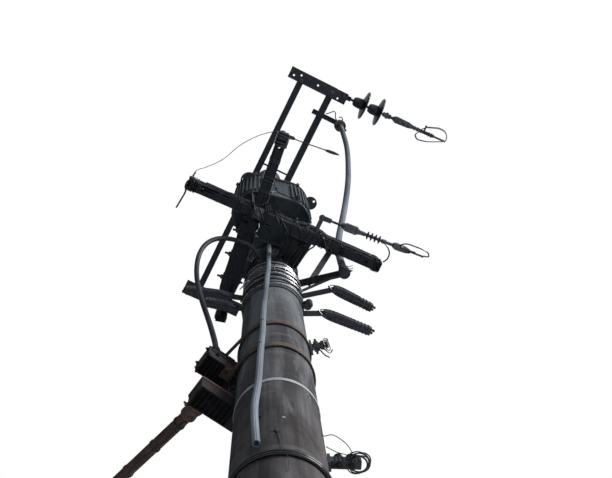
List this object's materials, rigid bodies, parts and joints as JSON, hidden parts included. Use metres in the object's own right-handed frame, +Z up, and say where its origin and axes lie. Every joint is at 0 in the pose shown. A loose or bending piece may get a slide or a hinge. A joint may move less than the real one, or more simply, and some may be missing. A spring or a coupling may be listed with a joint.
{
  "type": "concrete utility pole",
  "caption": "Tapered round concrete utility pole with timber crossarms, a steel top frame, two strain insulator strings, a hung transformer, a cable riser and a lamp arm.",
  "frame": {"origin": "middle of the pole's round foot, at ground level", "axes": "+Z up the pole, +X along the front crossarm towards the insulator string, +Y along the top rails, away from the camera"},
  "size_m": [1.9332, 2.4187, 9.3032],
  "materials": {
    "concrete": "weathered grey concrete",
    "rusty_band": "rusty",
    "bright_band": "bright galvanised",
    "wrap_wire": "dull black",
    "frame_steel": "weathered galvanised steel",
    "bar_steel": "weathered galvanised steel",
    "bolt_steel": "dull",
    "string_steel": "dull forged",
    "disc_porcelain": "glazed",
    "clamp_alloy": "dull",
    "bracket_steel": "weathered",
    "brown_porcelain": "glazed",
    "arm_wood": "dark tarred timber",
    "tank_paint": "grey paint",
    "grey_conduit": "matt",
    "black_box": "matt",
    "black_iron": "matt",
    "grey_cable": "matt",
    "dark_cable": "matt",
    "polymer_shed": "matt",
    "clamp_plastic": "matt",
    "rusty_pipe": "rusty"
  },
  "bodies": {
    "pole": {"pole": "concrete", "rusty_bands": "rusty_band", "bright_band": "bright_band", "wire_wrap": "wrap_wire", "cable_wraps": "wrap_wire", "rail_left": "frame_steel", "rail_right": "frame_steel", "front_end_bar": "bar_steel", "back_end_bar": "bar_steel", "rail_bolts": "bolt_steel", "cable_bracket": "bracket_steel", "cable_termination": "brown_porcelain", "riser_cable": "grey_cable", "riser_bracket": "bracket_steel", "front_crossarm": "arm_wood", "side_crossarm": "arm_wood", "side_arm_cheek": "arm_wood", "front_arm_bracket": "bracket_steel", "side_arm_bracket": "bracket_steel", "arm_brace": "bracket_steel", "low_string_eye": "string_steel", "tank": "tank_paint", "tank_lid": "tank_paint", "tank_fins": "tank_paint", "tank_lugs": "tank_paint", "tank_bands": "bracket_steel", "high_bushings": "brown_porcelain", "low_bushings": "brown_porcelain", "front_conduit": "grey_conduit", "loop_cable": "dark_cable", "loop_cleat": "bracket_steel", "box_backplate": "bracket_steel", "upper_box": "black_box", "lamp_bracket": "black_iron", "lamp_pipe": "rusty_pipe", "service_bands": "bracket_steel", "service_clamps": "clamp_plastic", "drop_bracket": "bracket_steel"},
    "top_string": {"string_clevis": "string_steel", "disc_one": "disc_porcelain", "disc_two": "disc_porcelain", "dead_end_clamp": "clamp_alloy"},
    "low_string": {"low_string_link": "clamp_alloy", "polymer_insulator": "polymer_shed", "low_dead_end": "clamp_alloy"}
  },
  "joints": [
    {"name": "top_string_swing", "type": "hinge", "parent": "pole", "child": "top_string", "pos_m": [0.265, -1.004, 9.1757], "axis": [0, 0, 1], "range_deg": [-28, 28]},
    {"name": "low_string_swing", "type": "hinge", "parent": "pole", "child": "low_string", "pos_m": [0.0945, -0.45778, 6.261], "axis": [0, 0, 1], "range_deg": [-28, 8]}
  ]
}
